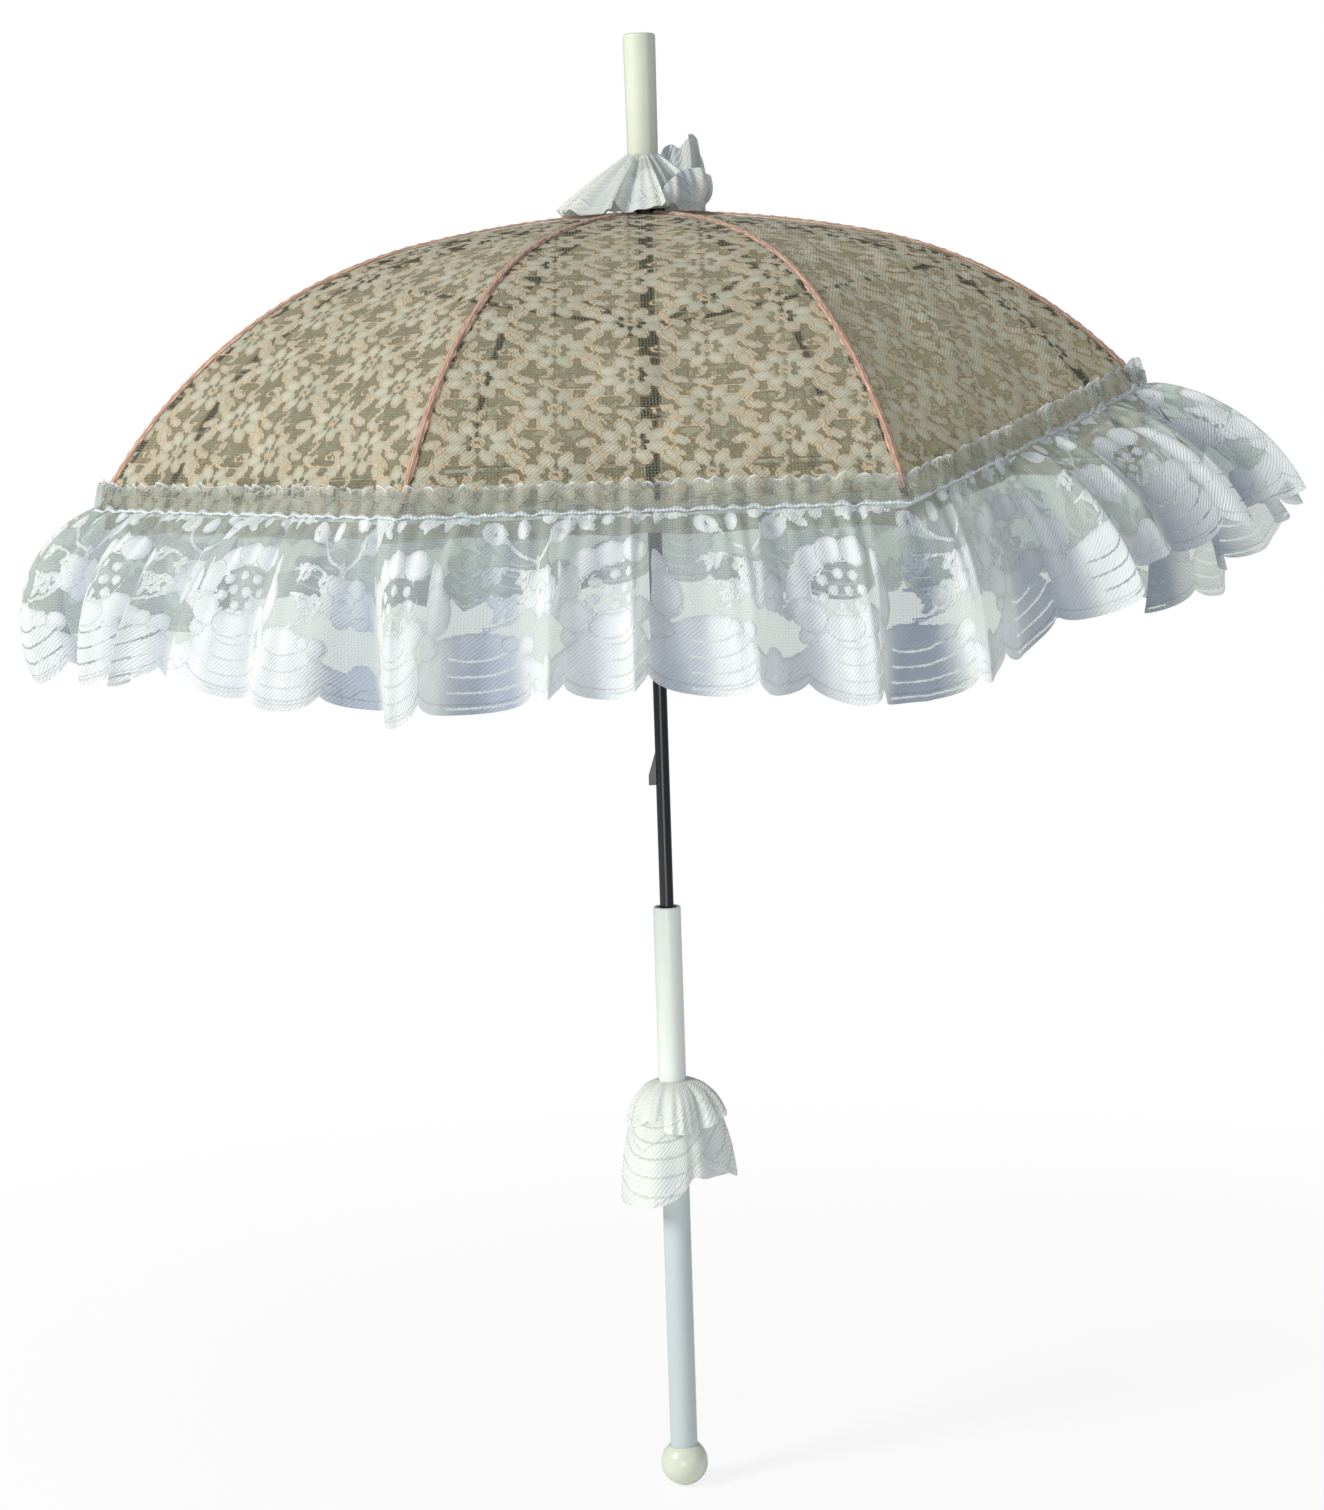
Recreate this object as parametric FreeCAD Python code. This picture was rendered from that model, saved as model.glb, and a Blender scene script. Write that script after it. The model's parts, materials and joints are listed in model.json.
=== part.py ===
import FreeCAD, Part
import math
import os
from FreeCAD import Vector

# A folding lace parasol, open, standing on the ball of its handle.
# Millimetres. +Z runs up the shaft, and the origin is the lowest point of the ball.
# Each rib hinges at the crown, each stretcher joins its rib to the runner that
# slides on the shaft, and two sprung catches hold the runner up or down.

# Overall sizes
rib_count = 8
crown_height = 668.0         # rib pivots above the origin
canopy_reach = 284.0         # rib tips from the shaft's axis
ferrule_top = 760.0

# Rib: two tangent arcs, given by how steeply they run down
crown_slope = 2.0            # degrees, at the rib's pivot
shoulder_reach = 120.0       # where the flat arc meets the round one
shoulder_slope = 12.0
tip_slope = 59.0
rib_width = 2.4
rib_height = 2.0
channel_width = 1.2
channel_roof = 0.6
rib_tip_radius = 1.7

# Rib and stretcher pivots
pivot_reach = 8.0            # both wire rings, from the axis
wire_diameter = 0.9
pin_clearance = 0.15         # on the radius
eye_radius = 1.7
joint_reach = 160.0          # rib-to-stretcher rivet from the axis
joint_drop = 1.7             # rivet below the rib's centreline
lug_radius = 1.9
rivet_diameter = 1.2
rivet_head_radius = 1.2
rivet_head_height = 0.5
closed_tip_reach = 20.0      # rib tips from the axis when folded

# Stretcher
stretcher_width = 2.2
stretcher_height = 1.8
fork_gap = 0.3               # each side of the rib
cheek_width = 0.8
fork_length = 9.0
web_length = 2.5
head_gap = 0.15              # rivet head to cheek

# Shaft, crown and runner
shaft_diameter = 7.2
shaft_wall = 0.6
shaft_in_handle = 51.0
shaft_in_ferrule = 48.0
hub_radius = 10.6
hub_half_height = 4.5
slot_width = 3.0
slot_floor = 5.9             # inner end of each slot from the axis
cap_radius = 13.0
cap_height = 1.5
runner_clearance = 0.3       # on the radius
runner_wall = 1.3
runner_above = 2.6           # from its pivots up
runner_flange = 4.5          # from its pivots down
runner_below = 46.0          # from its pivots to its lower end

# Sprung catches
catch_width = 1.6
catch_stand = 3.7            # out of the shaft
catch_face = 5.0
catch_ramp = 12.0
catch_travel = 3.6
catch_gap = 0.5              # catch to runner
catch_slot_gap = 0.3
leg_length = 28.0
leg_thickness = 0.8

# Ferrule and handle
ferrule_top_diameter = 16.4
ferrule_base_diameter = 15.2
ferrule_round = 1.6
handle_diameter = 14.4
handle_wall = 1.6
mouth_gap = 15.0             # folded runner to the grip tube's mouth
mouth_bevel = 0.5
ball_diameter = 25.0
ball_flat = 22.0             # height of the seat that the handle tube stands on
spigot_length = 16.0

# Cloth, as plain solids of the true size and place
cloth_lift = 1.8             # above the rib's centreline
cloth_thickness = 0.6
canopy_start = 12.5
hem_inset = 3.0              # hem back from the rib's tip, along the rib
seam_gap = 0.4               # between neighbouring pieces of cloth
slipped_rib = 8              # the hem has ridden up this rib
hem_slip = 46.0              # by this much, along the rib
ruffle_gap = 0.4
ruffle_thickness = 3.0
ruffle_length = 97.0
ruffle_spread = 41.0         # lower edge beyond the rib tips
trim_gap = 0.4               # gathered trim to the tube inside it
trim_thickness = 3.0
crown_trim_rise = 1.0        # its spread edge above the crown cap
crown_trim_length = 37.0
crown_trim_radius = 38.0
handle_trim_drop = 100.0     # its tied end below the grip tube's mouth
handle_trim_length = 67.0
handle_trim_radius = 27.0

# Worked out from those sizes
half_step = 180.0 / rib_count
chord_share = math.cos(math.radians(half_step))
shaft_radius = shaft_diameter / 2
shaft_bore = shaft_radius - shaft_wall


def sine(degrees):
    return math.sin(math.radians(degrees))


def cosine(degrees):
    return math.cos(math.radians(degrees))


flat_radius = (shoulder_reach - pivot_reach) / (sine(shoulder_slope) - sine(crown_slope))
round_radius = (canopy_reach - shoulder_reach) / (sine(tip_slope) - sine(shoulder_slope))
shoulder_height = crown_height - flat_radius * (cosine(crown_slope) - cosine(shoulder_slope))


def rib_curve(slope, lift=0.0):
    """Reach and height of the rib where it slopes down by so many degrees."""
    if slope <= shoulder_slope:
        reach = pivot_reach + flat_radius * (sine(slope) - sine(crown_slope))
        height = crown_height - flat_radius * (cosine(crown_slope) - cosine(slope))
    else:
        reach = shoulder_reach + round_radius * (sine(slope) - sine(shoulder_slope))
        height = shoulder_height - round_radius * (cosine(shoulder_slope) - cosine(slope))
    return reach + lift * sine(slope), height + lift * cosine(slope)


def slope_at(reach):
    """Slope of the rib at a distance from the axis."""
    if reach <= shoulder_reach:
        share = sine(crown_slope) + (reach - pivot_reach) / flat_radius
    else:
        share = sine(shoulder_slope) + (reach - shoulder_reach) / round_radius
    return math.degrees(math.asin(share))


def slope_before_tip(distance):
    """Slope of the rib at a distance back along it from its tip."""
    return tip_slope - math.degrees(distance / round_radius)


def bearing(number):
    """Compass angle of a rib, numbered from 1."""
    return half_step + 2 * half_step * (number - 1)


def hem_slope(number):
    """Slope of a rib at the canopy's hem."""
    slip = hem_slip if (number - slipped_rib) % rib_count == 0 else 0.0
    return slope_before_tip(hem_inset + slip)


# Folding linkage: rib and stretcher arms are equal, so the runner moves straight
joint_point = rib_curve(slope_at(joint_reach), -joint_drop)
arm_length = math.hypot(joint_point[0] - pivot_reach, crown_height - joint_point[1])
arm_slope = math.degrees(math.asin((crown_height - joint_point[1]) / arm_length))
runner_height = 2 * joint_point[1] - crown_height
tip_point = rib_curve(tip_slope)
tip_length = math.hypot(tip_point[0] - pivot_reach, crown_height - tip_point[1])
tip_angle = math.degrees(math.asin((crown_height - tip_point[1]) / tip_length))
fold_angle = math.degrees(math.acos((closed_tip_reach - pivot_reach) / tip_length)) - tip_angle
runner_travel = 2 * arm_length * (sine(arm_slope + fold_angle) - sine(arm_slope))
top_catch_face = runner_height - runner_below - catch_gap
bottom_catch_face = runner_height - runner_travel + runner_above + catch_gap
handle_top = runner_height - runner_travel - runner_below - mouth_gap
ruffle_reach = canopy_reach + ruffle_spread
crown_top = crown_height + hub_half_height


def polar(angle, reach, height, aside=0.0):
    """A point seen from the axis: so far out along a bearing, so far aside, so high."""
    out = Vector(cosine(angle), sine(angle), 0)
    across = Vector(-sine(angle), cosine(angle), 0)
    return out * reach + across * aside + Vector(0, 0, height)


def upright(radius, bottom, top):
    """A cylinder on the axis."""
    return Part.makeCylinder(radius, top - bottom, Vector(0, 0, bottom))


def ring(outer, inner, bottom, top):
    """A tube on the axis."""
    return upright(outer, bottom, top).cut(upright(inner, bottom - 1, top + 1))


def crosswise(point, radius, width):
    """A disc standing in the XZ plane, centred on a reach and height."""
    start = Vector(point[0], -width / 2, point[1])
    return Part.makeCylinder(radius, width, start, Vector(0, 1, 0))


def slab(points, width):
    """A flat outline in the XZ plane, given its width across the plane."""
    corners = [Vector(reach, -width / 2, height) for reach, height in points]
    outline = Part.makePolygon(corners + corners[:1])
    return Part.Face(outline).extrude(Vector(0, width, 0))


def turned(shape, angle):
    """A copy of a shape, turned about the axis."""
    copy = shape.copy()
    copy.rotate(Vector(0, 0, 0), Vector(0, 0, 1), angle)
    return copy


def spun(points):
    """A solid of revolution from corners given as reach and height."""
    corners = [Vector(reach, 0, height) for reach, height in points]
    outline = Part.makePolygon(corners + corners[:1])
    return Part.Face(outline).revolve(Vector(0, 0, 0), Vector(0, 0, 1), 360)


def along_rib(place, lift, slopes):
    """Arcs that follow the rib at a lift, through the slopes given in order."""
    edges = []
    for first, last in zip(slopes, slopes[1:]):
        through = (first, (first + last) / 2, last)
        points = [place(*rib_curve(slope, lift)) for slope in through]
        edges.append(Part.Arc(*points).toShape())
    return edges


def band(place, under, over, first, last):
    """Closed outline between two lifts of the rib's curve."""
    slopes = [first, shoulder_slope, last] if first < shoulder_slope < last else [first, last]
    lower = along_rib(place, under, slopes)
    upper = along_rib(place, over, slopes[::-1])
    corners = [[place(*rib_curve(slope, lift)) for lift in (under, over)] for slope in (first, last)]
    far_end = Part.makeLine(corners[1][0], corners[1][1])
    near_end = Part.makeLine(corners[0][1], corners[0][0])
    return Part.Wire(lower + [far_end] + upper + [near_end])


def flat_band(under, over, first, last, width):
    """The same outline in the XZ plane, given a width."""
    outline = band(lambda reach, height: Vector(reach, -width / 2, height), under, over, first, last)
    return Part.Face(outline).extrude(Vector(0, width, 0))


def make_rib():
    """A grooved rib with an eye for the crown's wire and a lug for the rivet."""
    half = rib_height / 2
    rib = flat_band(-half, half, crown_slope, tip_slope, rib_width)
    groove_start = slope_at(canopy_start)
    groove_end = slope_before_tip(hem_inset)
    groove = flat_band(-rib_height, half - channel_roof, groove_start, groove_end, channel_width)
    pivot = (pivot_reach, crown_height)
    rib = rib.cut(groove)
    rib = rib.fuse([crosswise(pivot, eye_radius, rib_width), crosswise(joint_point, lug_radius, rib_width)])
    eye_hole = crosswise(pivot, wire_diameter / 2 + pin_clearance, 2 * rib_width)
    rivet_hole = crosswise(joint_point, rivet_diameter / 2, 2 * rib_width)
    return rib.cut(eye_hole).cut(rivet_hole).removeSplitter()


def make_rib_fittings():
    """The rivet at the stretcher and the smooth bead on the rib's tip."""
    fork_width = rib_width + 2 * (fork_gap + cheek_width)
    shank = crosswise(joint_point, rivet_diameter / 2, fork_width + 2 * head_gap)
    rivet = shank
    for side in (-1, 1):
        middle = side * (fork_width / 2 + head_gap + rivet_head_height / 2)
        head = crosswise(joint_point, rivet_head_radius, rivet_head_height)
        head.translate(Vector(0, middle, 0))
        rivet = rivet.fuse(head)
    bead = Part.makeSphere(rib_tip_radius, Vector(tip_point[0], 0, tip_point[1]))
    bead = bead.cut(flat_band(-rib_height / 2, rib_height / 2, shoulder_slope, tip_slope, rib_width))
    return Part.Compound([rivet.removeSplitter(), bead])


def make_stretcher():
    """A grooved strut from the runner's wire to a fork around the rib."""
    pivot = Vector(pivot_reach, 0, runner_height)
    half = stretcher_height / 2
    root = arm_length - fork_length
    bar = slab([(0, -half), (root + web_length, -half), (root + web_length, half), (0, half)], stretcher_width)
    groove_ends = (canopy_start, root - web_length)
    roof = half - channel_roof
    groove_corners = [(groove_ends[0], roof), (groove_ends[0], -half - 1), (groove_ends[1], -half - 1)]
    bar = bar.cut(slab(groove_corners + [(groove_ends[1], roof)], channel_width))
    inside = rib_width + 2 * fork_gap
    outside = inside + 2 * cheek_width
    fork = slab([(root, -half), (arm_length, -half), (arm_length, half), (root, half)], outside)
    fork = fork.fuse(crosswise((arm_length, 0), lug_radius, outside))
    throat_start = root + web_length
    throat_end = arm_length + 2 * lug_radius
    throat_half = 2 * lug_radius
    throat = [(throat_start, -throat_half), (throat_end, -throat_half)]
    throat = throat + [(throat_end, throat_half), (throat_start, throat_half)]
    fork = fork.cut(slab(throat, inside))
    strut = bar.fuse([crosswise((0, 0), eye_radius, stretcher_width), fork])
    strut = strut.cut(crosswise((0, 0), wire_diameter / 2 + pin_clearance, 2 * outside))
    strut = strut.cut(crosswise((arm_length, 0), rivet_diameter / 2 + pin_clearance / 2, 2 * outside))
    strut.rotate(Vector(0, 0, 0), Vector(0, 1, 0), -arm_slope)
    strut.translate(pivot)
    return strut.removeSplitter()


def notched_ring(bore, radius, bottom, top, wire_level):
    """A ring with a slot for each arm and a round groove for the wire that holds them."""
    body = ring(radius, bore, bottom, top)
    for number in range(1, rib_count + 1):
        slot = Part.makeBox(radius, slot_width, top - bottom + 2)
        slot.translate(Vector(slot_floor, -slot_width / 2, bottom - 1))
        body = body.cut(turned(slot, bearing(number)))
    groove = Part.makeTorus(pivot_reach, wire_diameter / 2, Vector(0, 0, wire_level))
    return body.cut(groove)


def make_wire(level):
    """The closed wire ring on which one end of every arm turns."""
    return Part.makeTorus(pivot_reach, wire_diameter / 2, Vector(0, 0, level))


def make_runner():
    """The sleeve that slides on the shaft, with its notched flange."""
    bore = shaft_radius + runner_clearance
    top = runner_height + runner_above
    flange = notched_ring(bore, hub_radius, runner_height - runner_flange, top, runner_height)
    sleeve = ring(bore + runner_wall, bore, runner_height - runner_below, top)
    return flange.fuse(sleeve).removeSplitter()


def make_catch(face, direction):
    """A wedge with a flat face towards the runner, and the sprung leg that it bends from."""
    root = -shaft_bore + leg_thickness - 0.2
    inner = root + leg_thickness
    tip = -shaft_radius - catch_stand
    ramp_end = face + direction * (catch_face + catch_ramp)
    wedge = [(inner, face), (tip, face), (tip, face + direction * catch_face)]
    wedge = wedge + [(-shaft_radius, ramp_end), (inner, ramp_end)]
    leg_end = face + direction * (catch_face + catch_ramp + leg_length)
    leg = [(root, face), (inner, face), (inner, leg_end), (root, leg_end)]
    return slab(wedge, catch_width).fuse(slab(leg, catch_width)).removeSplitter()


def catch_slot(face, direction):
    """The opening in the shaft's wall for one catch."""
    length = catch_face + catch_ramp + 2 * catch_slot_gap
    bottom = min(face, face + direction * (catch_face + catch_ramp)) - catch_slot_gap
    width = catch_width + 2 * catch_slot_gap
    slot = Part.makeBox(shaft_radius, width, length)
    slot.translate(Vector(-shaft_radius - 1, -width / 2, bottom))
    return slot


def make_shaft():
    """The steel tube that everything stands on."""
    bottom = handle_top - shaft_in_handle
    top = crown_top + cap_height + shaft_in_ferrule
    shaft = ring(shaft_radius, shaft_bore, bottom, top)
    return shaft.cut([catch_slot(top_catch_face, -1), catch_slot(bottom_catch_face, 1)])


def make_ferrule():
    """The tapered plastic tip, closed at its top."""
    base = crown_top + cap_height
    height = ferrule_top - base
    body = Part.makeCone(ferrule_base_diameter / 2, ferrule_top_diameter / 2, height, Vector(0, 0, base))
    rim = [edge for edge in body.Edges if edge.BoundBox.ZMin > ferrule_top - 0.001]
    body = body.makeFillet(ferrule_round, rim)
    return body.cut(upright(shaft_radius, base - 1, base + shaft_in_ferrule))


def make_handle_tube():
    """The plastic grip tube, with a bevelled mouth around the shaft."""
    outer = handle_diameter / 2
    tube = ring(outer, outer - handle_wall, ball_flat, handle_top)
    rims = [edge for edge in tube.Edges if edge.BoundBox.ZMin > handle_top - 0.001]
    return tube.makeChamfer(mouth_bevel, rims)


def make_handle_bush():
    """The plug that centres the shaft in the grip tube."""
    outer = handle_diameter / 2 - handle_wall
    return ring(outer, shaft_radius, handle_top - shaft_in_handle, handle_top - 2 * mouth_bevel)


def make_handle_ball():
    """The ball on the handle's end, with a spigot inside the tube."""
    radius = ball_diameter / 2
    ball = Part.makeSphere(radius, Vector(0, 0, radius))
    ball = ball.cut(upright(ball_diameter, ball_flat, 2 * ball_diameter))
    spigot = upright(handle_diameter / 2 - handle_wall, ball_flat, ball_flat + spigot_length)
    return ball.fuse(spigot).removeSplitter()


def gathered_trim(inner, bottom, top, radius):
    """A plain skirt round a tube, tied at its top and spread at its bottom."""
    waist = inner + trim_thickness
    under = radius - trim_thickness
    return spun([(inner, top), (waist, top), (radius, bottom), (under, bottom), (inner, top - trim_thickness)])


def make_crown_trim():
    """The gathered lace that stands round the ferrule on the canopy's top."""
    inner = ferrule_top_diameter / 2 + trim_gap
    bottom = crown_top + cap_height + crown_trim_rise
    return gathered_trim(inner, bottom, bottom + crown_trim_length, crown_trim_radius)


def make_handle_trim():
    """The gathered lace cuff tied round the grip."""
    inner = handle_diameter / 2 + trim_gap
    top = handle_top - handle_trim_drop
    return gathered_trim(inner, top - handle_trim_length, top, handle_trim_radius)


def cloth_sections(number, outline):
    """Outlines at a rib and at the middle of the gore on each side of it."""
    sections = []
    for side in (-1, 0, 1):
        slope = (hem_slope(number) + hem_slope(number + side)) / 2
        share = chord_share if side else 1.0
        angle = bearing(number) + side * half_step
        aside = -side * seam_gap / 2
        sections.append(outline(lambda reach, height: polar(angle, reach * share, height, aside), slope))
    return sections


def canopy_outline(place, slope):
    """Section of the lace cover, from the crown to the hem."""
    return band(place, cloth_lift, cloth_lift + cloth_thickness, slope_at(canopy_start), slope)


def ruffle_outline(place, slope):
    """Section of the gathered flounce below the hem."""
    hem = rib_curve(slope, cloth_lift + cloth_thickness + ruffle_gap)
    spread = ruffle_reach - hem[0]
    drop = math.sqrt(ruffle_length ** 2 - spread ** 2)
    thick = (ruffle_thickness * drop / ruffle_length, ruffle_thickness * spread / ruffle_length)
    inner = [hem, (hem[0] + spread, hem[1] - drop)]
    outer = [(reach + thick[0], height + thick[1]) for reach, height in inner]
    corners = [place(*point) for point in inner + outer[::-1]]
    return Part.makePolygon(corners + corners[:1])


def make_cloth(number, outline):
    """One piece of cloth: straight from the rib to each neighbouring seam line."""
    return Part.makeLoft(cloth_sections(number, outline), True, True)


nodes = {
    "shaft_tube": make_shaft(),
    "ferrule": make_ferrule(),
    "crown_hub": notched_ring(shaft_radius, hub_radius, crown_height - hub_half_height, crown_top, crown_height),
    "crown_wire": make_wire(crown_height),
    "crown_cap": ring(cap_radius, shaft_radius, crown_top, crown_top + cap_height),
    "crown_ruffle": make_crown_trim(),
    "handle_tube": make_handle_tube(),
    "handle_bush": make_handle_bush(),
    "handle_ball": make_handle_ball(),
    "handle_ruffle": make_handle_trim(),
    "runner_sleeve": make_runner(),
    "runner_wire": make_wire(runner_height),
    "top_catch": make_catch(top_catch_face, -1),
    "bottom_catch": make_catch(bottom_catch_face, 1),
}
rib = make_rib()
fittings = make_rib_fittings()
stretcher = make_stretcher()
for number in range(1, rib_count + 1):
    nodes[f"rib_{number}"] = turned(rib, bearing(number))
    nodes[f"rib_fittings_{number}"] = turned(fittings, bearing(number))
    nodes[f"stretcher_{number}"] = turned(stretcher, bearing(number))
    nodes[f"canopy_panel_{number}"] = make_cloth(number, canopy_outline)
    nodes[f"rim_ruffle_{number}"] = make_cloth(number, ruffle_outline)

os.makedirs("parts", exist_ok=True)
for name, shape in nodes.items():
    shape.exportStep(f"parts/{name}.step")

box = Part.Compound(list(nodes.values())).BoundBox
print(f"{len(nodes)} pieces, {box.XLength:.1f} x {box.YLength:.1f} x {box.ZLength:.1f} mm")
print(f"fold {fold_angle:.2f} degrees, runner travel {runner_travel:.1f} mm, arm {arm_length:.2f} mm")
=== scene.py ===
# %% [markdown]
# A folding lace parasol, open and seen from a little above its hem. The metal and plastic
# pieces come from the CAD model and only get finishes here. The cloth is made here: eight
# wedges of floral net, a gathered lace flounce round the rim, and two small lace frills.

# %% Load the frame
import json
import math
import random

import bmesh
import bpy
import numpy as np
from mathutils import Matrix, Vector


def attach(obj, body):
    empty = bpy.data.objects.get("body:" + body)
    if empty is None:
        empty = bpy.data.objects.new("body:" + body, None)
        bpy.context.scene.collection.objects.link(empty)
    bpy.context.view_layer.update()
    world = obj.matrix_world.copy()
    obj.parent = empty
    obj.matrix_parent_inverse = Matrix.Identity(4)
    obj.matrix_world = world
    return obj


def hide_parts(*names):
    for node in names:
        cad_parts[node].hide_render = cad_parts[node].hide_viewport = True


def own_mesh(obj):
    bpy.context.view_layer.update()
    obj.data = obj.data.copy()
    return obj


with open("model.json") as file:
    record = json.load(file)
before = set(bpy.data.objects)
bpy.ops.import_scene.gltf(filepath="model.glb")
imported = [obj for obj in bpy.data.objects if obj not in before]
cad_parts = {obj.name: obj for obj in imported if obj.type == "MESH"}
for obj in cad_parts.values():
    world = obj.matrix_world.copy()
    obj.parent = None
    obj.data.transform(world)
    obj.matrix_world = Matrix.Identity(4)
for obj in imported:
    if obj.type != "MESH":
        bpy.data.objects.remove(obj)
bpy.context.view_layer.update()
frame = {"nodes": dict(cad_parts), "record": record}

MM = 0.001

# %% [markdown]
# The camera stands a little over a metre and a half away, near the height of the hem, and
# tilts down to take in the handle. The parasol should seem to lean a little. The camera
# rolls for that, and the model stays upright.

# %% Camera
CAMERA_DISTANCE = 1.664
CAMERA_HEIGHT = 0.610
CAMERA_PITCH = math.radians(-7.43)
CAMERA_ROLL = math.radians(1.84)
LENS_MM = 87.933535
SENSOR_MM = 36

forward = Vector((0, math.cos(CAMERA_PITCH), math.sin(CAMERA_PITCH)))
level = Vector((1, 0, 0))
above = level.cross(forward)
right = level * math.cos(CAMERA_ROLL) - above * math.sin(CAMERA_ROLL)
top = level * math.sin(CAMERA_ROLL) + above * math.cos(CAMERA_ROLL)
camera_data = bpy.data.cameras.new("camera")
camera_data.sensor_fit = "HORIZONTAL"
camera_data.sensor_width = SENSOR_MM
camera_data.lens = LENS_MM
camera = bpy.data.objects.new("camera", camera_data)
turn = Matrix((right, top, -forward)).transposed()
camera.matrix_world = Matrix.Translation((0, -CAMERA_DISTANCE, CAMERA_HEIGHT)) @ turn.to_4x4()
bpy.context.collection.objects.link(camera)
bpy.context.scene.camera = camera
print("lens", round(camera_data.lens, 2))

# %% [markdown]
# Materials are written with one helper that adds a node, sets it and fills its inputs.
# Colours are ordinary sRGB hex values, made linear by one function.

# %% Node and colour helpers
def linear(code, alpha=1.0):
    """An sRGB hex colour as linear RGBA."""
    parts = [int(code[i:i + 2], 16) / 255 for i in (1, 3, 5)]
    return [p / 12.92 if p <= 0.04045 else ((p + 0.055) / 1.055) ** 2.4 for p in parts] + [alpha]


def add(tree, kind, inputs=(), out=0, **settings):
    """Adds a node, sets it, fills its inputs by place or by name, and returns one output."""
    node = tree.nodes.new("ShaderNode" + kind)
    for name, value in settings.items():
        setattr(node, name, value)
    pairs = inputs.items() if isinstance(inputs, dict) else enumerate(inputs)
    for key, value in pairs:
        if isinstance(value, bpy.types.NodeSocket):
            tree.links.new(value, node.inputs[key])
        elif value is not None:
            node.inputs[key].default_value = value
    return node.outputs[out] if node.outputs else None


def remap(tree, value, source=(0, 1), target=(0, 1)):
    """Maps one range to another and clamps it."""
    return add(tree, "MapRange", {"Value": value, "From Min": source[0], "From Max": source[1],
                                  "To Min": target[0], "To Max": target[1]})


def noise(tree, place, scale, detail, dimensions="3D", roughness=0.5):
    """Smooth random unevenness."""
    return add(tree, "TexNoise", {"Vector": place, "Scale": scale, "Detail": detail,
                                  "Roughness": roughness}, noise_dimensions=dimensions)


def new_material(name):
    """An empty material and its node tree."""
    material = bpy.data.materials.new(name)
    material.use_nodes = True
    material.node_tree.nodes.clear()
    return material, material.node_tree


def surface(material, shader):
    """Ends a material with its shader."""
    add(material.node_tree, "OutputMaterial", (shader,))
    return material


# %% [markdown]
# The shaft, ribs and stretchers are steel dipped in black enamel: a thick gloss coat with
# slight waviness, where the edges of the channel catch thin highlights.

# %% Hard finishes
def enamel():
    """Black stoving enamel on steel: glossy, a little wavy, faintly dusty."""
    material, tree = new_material("black_stoving_enamel")
    place = add(tree, "TexCoord", out=3)
    dust = noise(tree, place, 60.0, 4.0)
    waves = noise(tree, place, 350.0, 2.0)
    colour = add(tree, "MixRGB", (dust, linear("#08080C"), linear("#14141B")))
    rough = remap(tree, dust, (0, 1), (0.14, 0.32))
    bump = add(tree, "Bump", {"Height": waves, "Strength": 0.12, "Distance": 0.0003})
    shader = add(tree, "BsdfPrincipled", {
        "Base Color": colour, "Roughness": rough, "Normal": bump, "IOR": 1.45,
        "Coat Weight": 0.15, "Coat Roughness": 0.08})
    return surface(material, shader)


def plastic(name, light, dark, roughness, speckle=0.0, low=None):
    """Moulded thermoplastic: soft colour drift, fine flow marks and a slightly uneven gloss."""
    material, tree = new_material(name)
    place = add(tree, "TexCoord", out=3)
    drift = noise(tree, place, 14.0, 3.0)
    marks = noise(tree, place, 900.0, 3.0)
    scuffs = noise(tree, place, 120.0, 6.0, roughness=0.7)
    steps = remap(tree, drift, (0.35, 0.7))
    colour = add(tree, "MixRGB", (steps, linear(light), linear(dark)))
    if low:
        # the grip's colour turns greyer from 0.22 m down to 0.14 m
        height = add(tree, "SeparateXYZ", (place,), out=2)
        greyer_below = remap(tree, height, (0.22, 0.14))
        colour = add(tree, "MixRGB", (greyer_below, colour, linear(low)))
    worn = remap(tree, scuffs, (0.62, 0.75), (0, speckle))
    colour = add(tree, "MixRGB", (worn, colour, linear("#8E8878")))
    rough = remap(tree, scuffs, (0, 1), (roughness * 0.7, roughness * 1.5))
    bump = add(tree, "Bump", {"Height": marks, "Strength": 0.08, "Distance": 0.0003})
    shader = add(tree, "BsdfPrincipled", {
        "Base Color": colour, "Roughness": rough, "Normal": bump, "IOR": 1.49,
        "Coat Weight": 0.35, "Coat Roughness": 0.12, "Subsurface Weight": 0.08,
        "Subsurface Scale": 0.004})
    return surface(material, shader)


def spring_wire():
    """Nickel-plated spring steel: drawn lengthwise, bright, with fine scratches."""
    material, tree = new_material("nickel_plated_spring_steel")
    place = add(tree, "TexCoord", out=3)
    stretched = add(tree, "Mapping", {"Vector": place, "Scale": (1500.0, 1500.0, 200.0)})
    grain = noise(tree, stretched, 1.0, 4.0)
    colour = add(tree, "MixRGB", (grain, linear("#8F8D88"), linear("#C9C6BE")))
    rough = remap(tree, grain, (0, 1), (0.22, 0.42))
    bump = add(tree, "Bump", {"Height": grain, "Strength": 0.15, "Distance": 0.0002})
    shader = add(tree, "BsdfPrincipled", {
        "Base Color": colour, "Metallic": 1.0, "Roughness": rough, "Normal": bump})
    return surface(material, shader)


black_enamel = enamel()
ivory_plastic = plastic("polished_ivory_polystyrene", "#D9DDCC", "#CBD1BC", 0.2)
grip_plastic = plastic("white_polystyrene_grip", "#E6EBE5", "#DCE2D9", 0.3, speckle=0.12,
                       low="#BEC9C9")
black_plastic = plastic("black_nylon", "#141416", "#1D1D20", 0.4)
bright_steel = spring_wire()


def finish(material, *nodes):
    """Gives CAD nodes a material."""
    for name in nodes:
        piece = frame["nodes"][name]
        if not piece.data.materials:
            piece.data.materials.append(material)
        for index in range(len(piece.data.materials)):
            piece.data.materials[index] = material


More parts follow.
